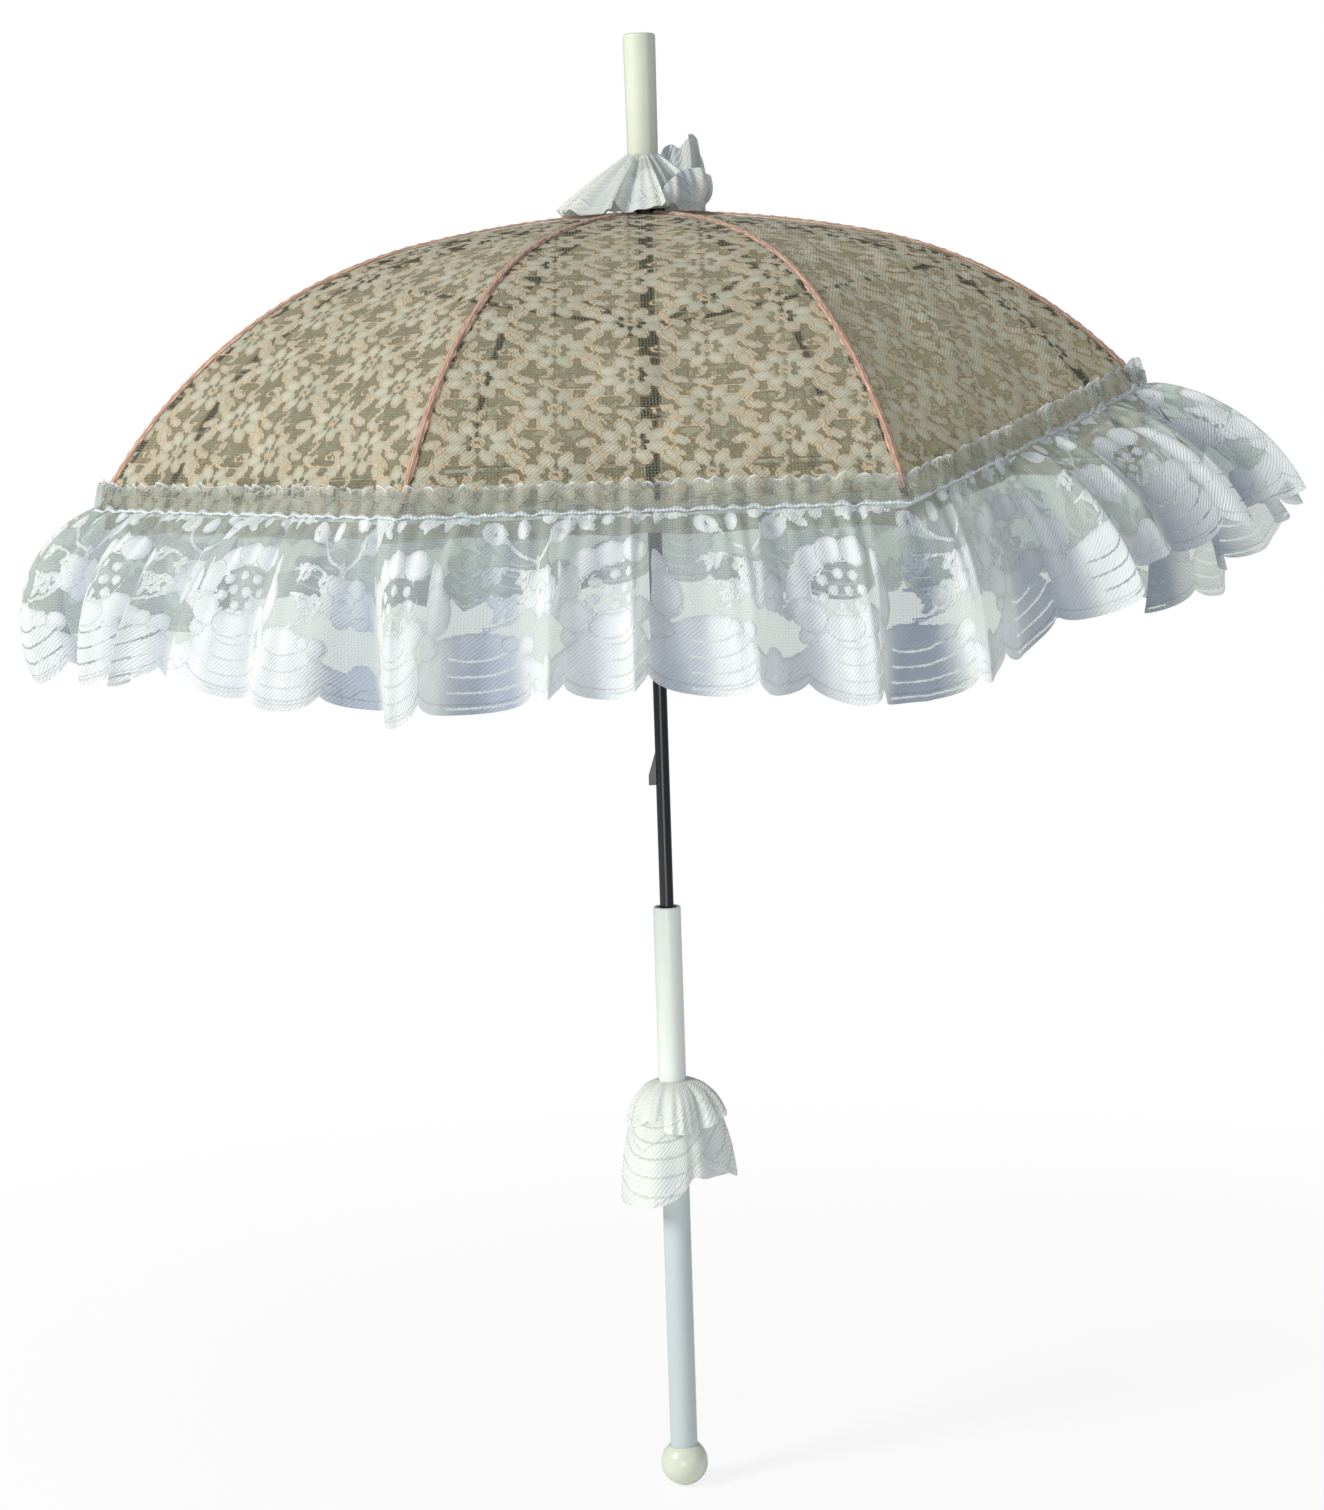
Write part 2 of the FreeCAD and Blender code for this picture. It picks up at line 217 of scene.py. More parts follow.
RIBS = range(1, 9)
finish(black_enamel, "shaft_tube", *[f"rib_{n}" for n in RIBS], *[f"stretcher_{n}" for n in RIBS])
finish(ivory_plastic, "ferrule", "handle_ball", "crown_cap")
finish(grip_plastic, "handle_tube")
finish(black_plastic, "crown_hub", "runner_sleeve", "handle_bush")
finish(bright_steel, "crown_wire", "runner_wire")
finish(black_enamel, "top_catch", "bottom_catch")
finish(bright_steel, *[f"rib_fittings_{n}" for n in RIBS])
print("hard finishes on", len(frame["nodes"]), "nodes")

# %% [markdown]
# The canopy follows the ribs: a nearly flat arc at the crown, then a rounder one to the hem.
# The crown joint of the frame says where the ribs turn, so the cloth meets the metal there; the
# reach of the hem is given. Between two ribs the cloth is pulled straight, as on any umbrella.

# %% The rib's curve
joints = {joint["name"]: joint for joint in frame["record"]["behaviour"]["joints"]}
HALF = math.radians(22.5)              # half of the angle between two ribs
CROWN = joints["fold_1"]["pos_m"]
PIVOT_REACH = math.hypot(CROWN[0], CROWN[1])
PIVOT_HEIGHT = CROWN[2]
SLOPES = [math.radians(a) for a in (2.0, 12.0, 59.0)]   # at the crown, shoulder and tip
SHOULDER_REACH = 120 * MM
TIP_REACH = 284 * MM
FLAT_RADIUS = (SHOULDER_REACH - PIVOT_REACH) / (math.sin(SLOPES[1]) - math.sin(SLOPES[0]))
ROUND_RADIUS = (TIP_REACH - SHOULDER_REACH) / (math.sin(SLOPES[2]) - math.sin(SLOPES[1]))
FLAT_LENGTH = FLAT_RADIUS * (SLOPES[1] - SLOPES[0])
RIB_LENGTH = FLAT_LENGTH + ROUND_RADIUS * (SLOPES[2] - SLOPES[1])
SHOULDER_HEIGHT = PIVOT_HEIGHT - FLAT_RADIUS * (math.cos(SLOPES[0]) - math.cos(SLOPES[1]))
HEM_DROP = 5 * MM                      # the cloth hangs past the rib's tip
HEM_SLIP = 54 * MM                     # but it has ridden up rib 8
SLIPPED_RIB = 8
CLOTH_LIFT = 2.1 * MM                  # above the rib's centreline


def bearing(number):
    """Direction of a rib round the shaft."""
    return HALF + 2 * HALF * (number - 1)


def hem_distance(number):
    """How far along a rib the hem is."""
    slip = HEM_SLIP if (number - SLIPPED_RIB) % 8 == 0 else 0.0
    return RIB_LENGTH + HEM_DROP - slip


def rib_at(distance, lift):
    """Reach, height and slope at distances along the rib, for arrays."""
    flat = np.minimum(distance, FLAT_LENGTH) / FLAT_RADIUS + SLOPES[0]
    slope = flat + np.maximum(distance - FLAT_LENGTH, 0) / ROUND_RADIUS
    on_round = distance > FLAT_LENGTH
    flat_reach = PIVOT_REACH + FLAT_RADIUS * (np.sin(slope) - math.sin(SLOPES[0]))
    flat_height = PIVOT_HEIGHT - FLAT_RADIUS * (math.cos(SLOPES[0]) - np.cos(slope))
    round_reach = SHOULDER_REACH + ROUND_RADIUS * (np.sin(slope) - math.sin(SLOPES[1]))
    round_height = SHOULDER_HEIGHT - ROUND_RADIUS * (math.cos(SLOPES[1]) - np.cos(slope))
    reach = np.where(on_round, round_reach, flat_reach) + lift * np.sin(slope)
    height = np.where(on_round, round_height, flat_height) + lift * np.cos(slope)
    return reach, height, slope


def gore_point(number, x, distance, lift):
    """Points on the cloth beside a rib: x is -1 and 1 in the middle of the gores at its sides."""
    reach, height, slope = rib_at(distance, lift)
    side = np.where(x > 0, 1, -1)
    middle = bearing(number) + side * HALF
    along = reach * math.cos(HALF)
    aside = -side * reach * math.sin(HALF) * (1 - np.abs(x))
    return along, aside, height, slope, middle


def placed(along, angle, height, aside=0):
    """Points at a distance along a bearing and beside it."""
    c, s = np.cos(angle), np.sin(angle)
    return np.column_stack((along * c - aside * s, along * s + aside * c, height))


def peak_at(theta, centre, width, power=2):
    """1 at one bearing, falling to 0 on both sides of it."""
    return np.exp(-(np.angle(np.exp(1j * (theta - centre))) / width) ** power)


def spread_hem(number, x):
    """Hem distance at x, shared evenly with the next rib on that side."""
    here = hem_distance(number)
    after = np.where(x > 0, hem_distance(number + 1), hem_distance(number - 1))
    return here + (after - here) * np.abs(x) / 2


hem_check = rib_at(np.array([hem_distance(1)]), CLOTH_LIFT)
print("hem reach", round(float(hem_check[0][0]), 4), "height", round(float(hem_check[1][0]), 4))

# %% [markdown]
# Lace is drawn with distances. Each motif is an oval, a ring or a stroke, and the smallest
# distance to any of them, stored on the mesh, says where thread is dense. The material then
# only has to compare that number with zero, so edges stay crisp between the vertices.

# %% Drawing lace
def oval(u, v, centre, size, turn=0.0):
    """Distance outside an oval, in mm, negative inside."""
    c, s = math.cos(turn), math.sin(turn)
    du, dv = u - centre[0], v - centre[1]
    across, down = size[0] / 2, size[1] / 2
    share = np.hypot((du * c + dv * s) / across, (dv * c - du * s) / down)
    return (share - 1) * min(across, down)


def stroke(u, v, start, end, width, bow=0.0):
    """Distance outside a stem between two points, bowed to one side."""
    du, dv = end[0] - start[0], end[1] - start[1]
    length = math.hypot(du, dv)
    t = np.clip(((u - start[0]) * du + (v - start[1]) * dv) / length ** 2, 0, 1)
    lean = bow * 4 * t * (1 - t)
    near_u = start[0] + du * t - dv / length * lean
    near_v = start[1] + dv * t + du / length * lean
    return np.hypot(u - near_u, v - near_v) - width / 2


def wrapped(value, period):
    """The same place in the repeat that is centred on zero."""
    return (value + period / 2) % period - period / 2


def lay(layers, motif):
    """Lays a motif over the others: its own outline hides what it covers."""
    field, cord = layers
    cord = np.where(motif < 0, -motif, np.minimum(cord, motif))
    return np.minimum(field, motif), cord


def pierce(layers, hole):
    """Cuts a hole with an outline of its own."""
    field, cord = layers
    return np.maximum(field, -hole), np.minimum(cord, np.abs(hole))


EMPTY = 9.0                            # mm, too far from any motif to show


def blank(u):
    """Lace with nothing on it yet."""
    return np.full(u.shape, EMPTY), np.full(u.shape, EMPTY)


COVER_REPEAT = (68.0, 37.0)            # mm, with every other flower dropped by half


def comb(u, v, centre, radius, upward):
    """A half ring with teeth on its inner side, like a tiny basket, and the bowl it holds."""
    du, dv = u - centre[0], (v - centre[1]) * upward
    away = np.hypot(du / 1.3, dv)
    angle = np.arctan2(dv, du / 1.3)
    teeth = 1.1 * (np.cos(angle * 15) > 0) * (away < radius)
    ring = np.abs(away - radius) - 0.7 - teeth
    bowl = np.maximum(away - radius, -dv - 1.5)
    return np.maximum(ring, -dv - 1.5), bowl


def daisy(layers, u, v):
    """One wide flower of the cover lace: eight petals round a ring of small holes."""
    for k in range(8):
        a = math.tau * (k + 0.5) / 8
        centre = (10.6 * math.cos(a), 7.6 * math.sin(a))
        lean = math.atan2(7.6 * math.sin(a), 10.6 * math.cos(a))
        layers = lay(layers, oval(u, v, centre, (10.4, 6.6), lean))
    for k in range(8):
        a = math.tau * k / 8
        hole = oval(u, v, (5.6 * math.cos(a), 4.2 * math.sin(a)), (3.2, 2.6), a)
        layers = np.maximum(layers[0], -hole), np.where(hole < 0.7, EMPTY, layers[1])
    layers = lay(layers, oval(u, v, (0, 0), (6.4, 5.2)))
    return pierce(layers, oval(u, v, (0, 0), (2.6, 2.2)))


def cover_lace(u, v):
    """The canopy's lace in mm: a field that is negative on dense thread, and outlines."""
    layers = blank(u)
    width, height = COVER_REPEAT
    for shift in (0, 1):
        du = wrapped(u - shift * width / 2, width)
        dv = wrapped(v - shift * height / 2, height)
        for side in (-1, 1):
            layers = lay(layers, oval(du, dv, (side * 20.5, 1.0), (8.6, 4.6), side * 0.35))
            layers = lay(layers, oval(du, dv, (side * 17.0, 8.8), (9.6, 5.0), side * 0.9))
            layers = lay(layers, oval(du, dv, (side * 18.5, -8.0), (8.6, 4.6), -side * 0.8))
        layers = lay(layers, stroke(du, dv, (-12.0, -10.0), (-25.0, -15.0), 1.6, bow=2.0))
        layers = lay(layers, oval(du, dv, (-3.0, -15.0), (7.5, 4.4), 0.5))
        for centre, radius, upward in (((9.0, -13.0), 7.0, -1), ((-10.0, 13.5), 6.6, 1)):
            ring, bowl = comb(du, dv, centre, radius, upward)
            layers = lay(pierce(layers, bowl), ring)
        layers = daisy(layers, du, dv)
    return layers


RIM_DEPTH = 97.0
RIM_REPEAT = 128.8                     # mm of flat lace to each repeat of three lobes
LOBES = (0.0, 50.0, 84.0, 128.8)       # where the notches between lobes are
NARROW_LOBE = 40.0                     # mm, lobes under this width are plain
SCALLOP_DEPTH = 12.0
HUNG_DEPTH = 91 * MM                   # the strip as it hangs, slightly pulled in by its folds


def lobe_place(u):
    """The width of the lobe at u, and the share of the way across it."""
    place = u % RIM_REPEAT
    index = np.clip(np.searchsorted(LOBES, place, side="right") - 1, 0, 2)
    start = np.take(LOBES, index)
    width = np.take(LOBES, index + 1) - start
    return width, (place - start) / width


def scallop_edge(u):
    """How far the lace reaches down at u: round lobes between sharp notches."""
    width, share = lobe_place(u)
    lobe = np.sqrt(np.clip(1 - (2 * share - 1) ** 2 * 0.93, 0, 1))
    narrow = width < NARROW_LOBE
    depth = SCALLOP_DEPTH * np.where(narrow, 0.75, 1.0)
    return RIM_DEPTH - np.where(narrow, 3.0, 0.0) - depth * (1 - lobe)


def blossom(layers, u, v, centre, radius, petals, turn=0.0, heart=1.7):
    """A small open flower with a pierced heart."""
    for k in range(petals):
        a = turn + math.tau * k / petals
        at = (centre[0] + 0.6 * radius * math.cos(a), centre[1] + 0.6 * radius * math.sin(a))
        layers = lay(layers, oval(u, v, at, (0.95 * radius, 0.74 * radius), a))
    layers = lay(layers, oval(u, v, centre, (0.8 * radius, 0.8 * radius)))
    return pierce(layers, oval(u, v, centre, (heart, heart * 0.8)))


def spray(layers, u, v, root, turn, count, size):
    """A stem with pairs of leaves."""
    c, s = math.cos(turn), math.sin(turn)
    tip = (root[0] + count * size * c, root[1] + count * size * s)
    layers = lay(layers, stroke(u, v, root, tip, 1.4, bow=1.0))
    for k in range(count):
        for side in (-1, 1):
            far = (k + 0.8) * size
            at = (root[0] + far * c - side * size * 0.5 * s,
                  root[1] + far * s + side * size * 0.5 * c)
            layers = lay(layers, oval(u, v, at, (size * 1.15, size * 0.62), turn + side * 0.7))
    return layers


# leaves and petals of the flounce: place, size, slant
LEAVES = (
    (30, 9, 15, 11, 0.5), (46, 8, 8, 11, 0.2), (73, 11, 19, 13, -0.6), (63, 3, 10, 8, 0.0),
    (-41, 7, 12, 6, 0.5), (-29, 4, 8, 6, -0.4), (2, 3, 7, 10, 0.3), (12, 2, 9, 6, 0.0),
    (58, 42, 24, 21, 0.3), (68, 46, 14, 20, 0.2), (77, 36, 4, 14, -0.3),
    (-39, 29, 15, 17, 0.5), (-27, 24, 17, 14, 0.0), (-12, 25, 19, 15, 0.2), (1, 33, 15, 20, -0.3),
    (-46, 41, 13, 20, 0.1), (7, 47, 15, 25, -0.2), (-42, 56, 20, 15, 0.6), (-9, 58, 21, 15, -0.3),
    (-25, 61, 22, 14, 0.0), (2, 63, 18, 13, 0.5))
STEMS = (
    ((56, 36), (55, 24), 2.4, 0.0), ((55, 26), (36, 12), 2.0, -2.5), ((56, 26),
    (66, 12), 2.2, 2.0),
    ((50, 34), (22, 30), 1.6, 5.0), ((48, 44), (24, 42), 1.5, 1.0), ((48, 48),
    (28, 56), 1.5, -2.0),
    ((-41, 7), (-60, 2), 1.2, 1.0), ((-10, 2), (20, 3), 1.2, 1.0))
DOTS = ((-25, 36), (-16, 37), (-34, 39), (-29, 44), (-20, 44.5), (-12, 44), (-35, 48), (-25, 52),
        (-16, 51))


def repeats(x):
    """Where to draw a motif: one that starts before the repeat shows at its end too."""
    return (0, RIM_REPEAT) if x < 0 else (0,)


def rim_lace(u, v):
    """The flounce's lace in mm: field, outlines, and rings that the shells' lines follow."""
    width, share = lobe_place(u)
    lobe = (share - 0.5) * width
    edge = scallop_edge(u)
    narrow = width < NARROW_LOBE
    ahead = wrapped(u, RIM_REPEAT) % RIM_REPEAT
    layers = blank(u)
    # shells and their edging
    shell = oval(lobe / width * 46, v, (0, 80), (49, 44)) + np.where(narrow, 14.0, 0.0)
    layers = lay(layers, shell)
    layers = lay(layers, edge - np.where(narrow, 17.0, 5.0) - v)
    for k in range(5):
        at = 54 + 6.2 * k
        layers = lay(layers, oval(ahead, v, (at, 87 - 1.2 * abs(k - 2)), (5.6, 5.2)))
    layers = lay(layers, oval(ahead, v, (39, 64), (8, 7.5)))
    layers = lay(layers, oval(ahead, v, (47.5, 66), (10.5, 10)))
    layers = lay(layers, oval(ahead, v, (85, 66), (9, 8)))
    for x, y, long, wide, slant in LEAVES:
        for turn in repeats(x):
            layers = lay(layers, oval(ahead - turn, v, (x, y), (long, wide), slant))
            if min(long, wide) > 10 and y < 12:
                layers = pierce(layers, oval(ahead - turn, v, (x, y), (4.0, 1.4), slant + 0.9))
    for first, last, thick, bow in STEMS:
        for turn in repeats(first[0]):
            layers = lay(layers, stroke(ahead - turn, v, first, last, thick, bow))
    far = wrapped(ahead + 25, RIM_REPEAT) - 25
    layers = blossom(layers, far, v, (-11, 3), 6.0, 5, 0.3, 1.4)
    layers = blossom(layers, far, v, (-50, 4), 4.6, 6, 0.3, 2.4)
    layers = blossom(layers, ahead, v, (88, 3), 5.0, 6, 0.0, 2.4)
    layers = blossom(layers, ahead, v, (47, 34), 5.4, 5, 0.5, 2.4)
    layers = blossom(layers, ahead, v, (58, 42), 12.5, 5, 0.35, 1.8)
    layers = spray(layers, ahead, v, (48, 44), 2.9, 3, 5.6)
    layers = spray(layers, ahead, v, (36, 29), 2.9, 2, 5.0)
    layers = spray(layers, ahead, v, (70, 50), 0.5, 2, 4.6)
    window = oval(far, v, (-23.5, 43), (33, 26))
    layers = pierce(layers, window)
    for at in DOTS:
        layers = lay(layers, oval(far, v, at, (6.0, 5.4)))
    border = edge - v
    cord = np.minimum(layers[1], np.minimum(np.abs(border - 4.5), np.abs(border - 0.4)))
    rings = np.hypot(lobe * 46 / width / 1.15, v - 56.0)
    rings = np.where((v > 68) & (lobe > -10) & ~narrow, rings, 0.0)
    return layers[0], cord, rings


sample = np.linspace(0, RIM_REPEAT, 400)
grid_u, grid_v = np.meshgrid(sample, np.linspace(0, RIM_DEPTH, 400))
print("flounce lace covers", round(float((rim_lace(grid_u, grid_v)[0] < 0).mean()), 2))
print("cover lace covers", round(float((cover_lace(grid_u, grid_v)[0] < 0).mean()), 2))

# %% [markdown]
# Lace is thread and air. The drawn distances decide where thread is dense. Between the
# motifs there is a fine net, drawn as the edges of small random cells. Where there is
# neither, light passes. Some light also soaks through the threads themselves, which is why
# the inside of a lace canopy glows.

# %% Lace material
WAVE_SCALE = 0.314                     # gives a wave texture one band per unit


def lace(name, thread, outline, ground, painted_shade, mesh_mm, veil, net_top, glow, opacity,
         tint, shade, ribbed=0.0, cord_mm=0.3):
    """Machine-made lace. Colours for dense thread, its cord outline, the net, and painted shade.
    """
    material, tree = new_material(name)
    place = add(tree, "UVMap", uv_map="mm")
    field = add(tree, "Attribute", attribute_name="thread", out=2)
    cord = add(tree, "Attribute", attribute_name="cord", out=2)
    fold = add(tree, "Attribute", attribute_name="fold", out=2)
    rings = add(tree, "Attribute", attribute_name="rings", out=2)
    # loose ends make every edge uneven by a few tenths of a millimetre
    fuzz = noise(tree, place, 0.8, 2.0, "2D")
    fuzz = remap(tree, fuzz, (0, 1), (-0.7, 0.7))
    field = add(tree, "Math", (field, fuzz), operation="ADD")
    solid = remap(tree, field, (0.2, -0.2))
    if ribbed:
        # shells are worked in arcs with a line of net between them
        turn = add(tree, "Math", (rings, fuzz), operation="ADD")
        turn = add(tree, "Math", (turn, 1 / ribbed), operation="MULTIPLY")
        turn = add(tree, "Math", (turn,), operation="FRACT")
        gap = remap(tree, turn, (0.1, 0.16))
        far = remap(tree, rings, (3.4, 3.6))
        gap = add(tree, "MixRGB", (far, (1, 1, 1, 1), gap))
        solid = add(tree, "Math", (solid, gap), operation="MULTIPLY")
    line = add(tree, "Math", (fuzz, 0.25, cord), operation="MULTIPLY_ADD")
    line = remap(tree, line, (cord_mm + 0.15, cord_mm - 0.1))
    cells = add(tree, "TexVoronoi", {"Vector": place, "Scale": 1 / mesh_mm, "Randomness": 0.2},
                feature="DISTANCE_TO_EDGE", voronoi_dimensions="2D")
    net = remap(tree, cells, (0.17, 0.1))
    net = remap(tree, net, (0, 1), (veil, net_top))
    dense = remap(tree, solid, (0, 1), (0, opacity))
    alpha = add(tree, "Math", (dense, net), operation="MAXIMUM")
    alpha = add(tree, "Math", (alpha, line), operation="MAXIMUM")
    # the cord stands up, and the net beside it lies in its shade
    beside = remap(tree, cord, (cord_mm + 0.8, cord_mm + 0.2), (0, shade))
    beside = add(tree, "Math", (beside, solid), operation="SUBTRACT", use_clamp=True)
    alpha = add(tree, "Math", (alpha, beside), operation="MAXIMUM")
    # thread runs across the lace about every millimetre
    hatch = add(tree, "TexWave", {"Vector": place, "Scale": WAVE_SCALE / 1.1, "Distortion": 1.5,
                                  "Detail": 2.0}, bands_direction="DIAGONAL", out=1)
    patch = noise(tree, place, 0.05, 3.0, "2D")
    patch = remap(tree, patch, (0.35, 0.65))
    work = add(tree, "MixRGB", (patch, linear(thread[0]), linear(thread[1])))
    lit = remap(tree, hatch, (0, 1), (0.88, 1.04))
    # dense thread is brightest where it is thickest, in the middle of a petal
    thin = remap(tree, field, (-2.6, -0.2), (0, 0.45))
    work = add(tree, "MixRGB", (thin, work, linear(ground)))
    colour = add(tree, "MixRGB", (solid, linear(ground), work))
    colour = add(tree, "MixRGB", (1.0, colour, lit), blend_type="MULTIPLY")
    colour = add(tree, "MixRGB", (beside, colour, linear(painted_shade)))
    colour = add(tree, "MixRGB", (line, colour, linear(outline)))
    # painted shade: the cloth is darkened deep in its folds, as much as the fold attribute says
    colour = add(tree, "MixRGB", (fold, colour, linear(painted_shade)))
    crown = remap(tree, field, (0.3, -1.6), (0, 0.55))
    relief = add(tree, "Math", (hatch, 0.25, crown), operation="MULTIPLY_ADD")
    relief = add(tree, "Math", (line, 0.5, relief), operation="MULTIPLY_ADD")
    bump = add(tree, "Bump", {"Height": relief, "Strength": 0.8, "Distance": 0.0009})
    cloth = add(tree, "BsdfPrincipled", {
        "Base Color": colour, "Roughness": 0.72, "Normal": bump, "Sheen Weight": 0.2,
        "Sheen Roughness": 0.4, "Specular IOR Level": 0.3})
    through = add(tree, "BsdfTranslucent", {"Color": colour, "Normal": bump})
    cloth = add(tree, "MixShader", (glow, cloth, through))
    # threads too fine to draw dim what is seen between the drawn ones
    clear = add(tree, "BsdfTransparent", {"Color": linear(tint)})
    shader = add(tree, "MixShader", (alpha, clear, cloth))
    return surface(material, shader)


cover_material = lace(
    "ecru_raschel_lace", ("#DCD8C3", "#CFCBB3"), "#D2BD9C", "#B4B19B", "#7E7058",
    mesh_mm=1.5, veil=0.08, net_top=0.42, glow=0.3, opacity=0.86, tint="#CFCDBB",
    shade=0.75, cord_mm=0.38)
white_material = lace(
    "white_nylon_lace", ("#F3F7F6", "#E8EEED"), "#E6ECEA", "#D4DBD6", "#8E9AAD",
    mesh_mm=1.4, veil=0.32, net_top=0.5, glow=0.25, opacity=0.96, tint="#E4EBE6",
    shade=0.2, ribbed=7.5, cord_mm=0.32)
heading_material = lace(
    "white_nylon_heading", ("#EEF1EF", "#DFE4E3"), "#F4F6F5", "#D4D9D6", "#9CA6B2",
    mesh_mm=1.4, veil=0.12, net_top=0.4, glow=0.25, opacity=0.58, tint="#ECF0EC", shade=0.3,
    cord_mm=0.5)
frill_material = lace(
    "cream_white_nylon_lace", ("#F6F9F3", "#ECF1E9"), "#F1F4EE", "#E4E9E2", "#B4BDCB",
    mesh_mm=1.4, veil=0.75, net_top=0.85, glow=0.2, opacity=0.98, tint="#D8DDD6",
    shade=0.3, ribbed=7.0, cord_mm=0.35)


# %% [markdown]
# The tape over each seam is folded cotton in a dusty peach. The gather of the flounce is a
# run of white overlock stitches.

# %% Tape and stitch finishes
def cotton(name, light, dark, spacing_mm, glow=0.15):
    """Folded tape: fine threads along it with a soft, matt face."""
    material, tree = new_material(name)
    place = add(tree, "UVMap", uv_map="mm")
    ribs = add(tree, "TexWave", {"Vector": place, "Scale": WAVE_SCALE / spacing_mm,
                                 "Distortion": 3.0, "Detail": 2.0, "Detail Scale": 0.3}, out=1)
    patch = noise(tree, place, 0.12, 3.0, "2D")
    mix = add(tree, "Math", (ribs, patch), operation="MULTIPLY")
    mix = remap(tree, mix, (0.1, 0.5))
    colour = add(tree, "MixRGB", (mix, linear(dark), linear(light)))
    bump = add(tree, "Bump", {"Height": ribs, "Strength": 0.5, "Distance": 0.0004})
    shader = add(tree, "BsdfPrincipled", {
        "Base Color": colour, "Roughness": 0.8, "Normal": bump, "Sheen Weight": 0.3})
    through = add(tree, "BsdfTranslucent", {"Color": colour})
    shader = add(tree, "MixShader", (glow, shader, through))
    return surface(material, shader)


tape_material = cotton("peach_cotton_tape", "#DDB69C", "#B18B76", 1.4)
stitch_material = cotton("white_overlock_thread", "#F7F9FA", "#CDD5DC", 1.6)
print("cloth materials", len(bpy.data.materials))


# %% [markdown]
# Every piece of cloth starts as a flat grid and is then moved point by point, because its
# final shape is known from the frame. Each piece keeps its flat coordinates in millimetres
# as UVs, so threads have one size everywhere.

# %% Making cloth from a grid
COLLECTION = bpy.context.collection


def cloth(name, columns, rows, shape, material, outward, body, slot, closed=False):
    """Bends a grid: shape turns x (-1 to 1) and t (0 to 1) into points, flat mm and extras."""
    bm = bmesh.new()
    bm.loops.layers.uv.new("mm")
    bmesh.ops.create_grid(bm, x_segments=columns, y_segments=rows, size=1.0)
    mesh = bpy.data.meshes.new(name)
    bm.to_mesh(mesh)
    bm.free()
    co = np.empty(len(mesh.vertices) * 3)
    mesh.vertices.foreach_get("co", co)
    co = co.reshape(-1, 3)
    points, u, v, extras = shape(co[:, 0], (co[:, 1] + 1) / 2)
    mesh.vertices.foreach_set("co", points.astype(np.float32).ravel())
    corners = np.empty(len(mesh.loops), np.int32)
    mesh.loops.foreach_get("vertex_index", corners)
    flat = np.column_stack((u, v))[corners].astype(np.float32)
    mesh.uv_layers["mm"].data.foreach_set("uv", flat.ravel())
    for title, values in extras.items():
        store = mesh.attributes.new(title, "FLOAT", "POINT")
        store.data.foreach_set("value", np.broadcast_to(values, u.shape).astype(np.float32))
    mesh.update()
    bm = bmesh.new()
    bm.from_mesh(mesh)
    if closed:
        bmesh.ops.remove_doubles(bm, verts=bm.verts, dist=0.00001)
    bm.normal_update()
    facing = sum(face.normal.dot(outward(face.calc_center_median())) for face in bm.faces)
    if facing < 0:
        bmesh.ops.reverse_faces(bm, faces=bm.faces)
    bm.to_mesh(mesh)
    bm.free()
    mesh.polygons.foreach_set("use_smooth", np.ones(len(mesh.polygons), bool))
    mesh.materials.append(material)
    piece = bpy.data.objects.new(name, mesh)
    COLLECTION.objects.link(piece)
    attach(piece, body)
    return piece


def away(point):
    """Outward and up, for anything draped over the frame."""
    return Vector((point.x, point.y, 0)).normalized() + Vector((0, 0, 0.8))


def area_of(piece):
    """Area of a piece in square metres."""
    return sum(face.area for face in piece.data.polygons)


# %% [markdown]
# The canopy is one net cover sewn from eight wedges. Each piece here spans from the middle
# of one gore to the middle of the next, with its rib down the centre, so it can turn with
# that rib. The cloth is slightly slack, which gives it a few soft ripples.

# %% Canopy
CLOTH_START = 0.0047                   # metres along the rib, at the crown
GORE_SHIFT = (41.0, 23.0)              # mm the pattern moves from one gore to the next


def ripple(theta, distance, x):
    """Soft slack in the cloth in metres, nothing at the ribs and the crown."""
    free = np.sin(np.abs(x) * math.pi / 2) ** 1.5 * np.clip(distance / 0.25, 0, 1)
    waves = (np.sin(theta * 16 + distance * 38) + 0.8 * np.sin(theta * 23 - distance * 55 + 1.7)
             + 0.6 * np.sin(theta * 37 + distance * 90 + 0.6))
    return free * (-2.2 + 0.9 * waves) * MM


def canopy_shape(number):
    """Shape of the wedge that rides on one rib."""
    def shape(x, t):
        distance = CLOTH_START + (spread_hem(number, x) - CLOTH_START) * t
        along, aside, height, slope, middle = gore_point(number, x, distance, CLOTH_LIFT)
        theta = middle + np.arctan2(aside, along)
        slack = ripple(theta, distance, x)
        along = along + slack * np.sin(slope)
        height = height + slack * np.cos(slope)
        points = placed(along, middle, height, aside)
        gore = np.where(x > 0, number, number - 1) % 8
        u = aside / MM + gore * GORE_SHIFT[0]
        v = distance / MM + gore * GORE_SHIFT[1]
        field, cord = cover_lace(u, v)
        return points, u, v, {"thread": field, "cord": cord, "fold": 0.0}
    return shape


for number in RIBS:
    piece = cloth(f"canopy_lace_{number}", 200, 246, canopy_shape(number), cover_material, away,
                  f"rib_{number}", "ecru_lace")
    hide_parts(f"canopy_panel_{number}")

# %% [markdown]
# A folded tape covers each seam. It is a low ridge from the crown to the hem, a little
# uneven as hand-guided sewing is.

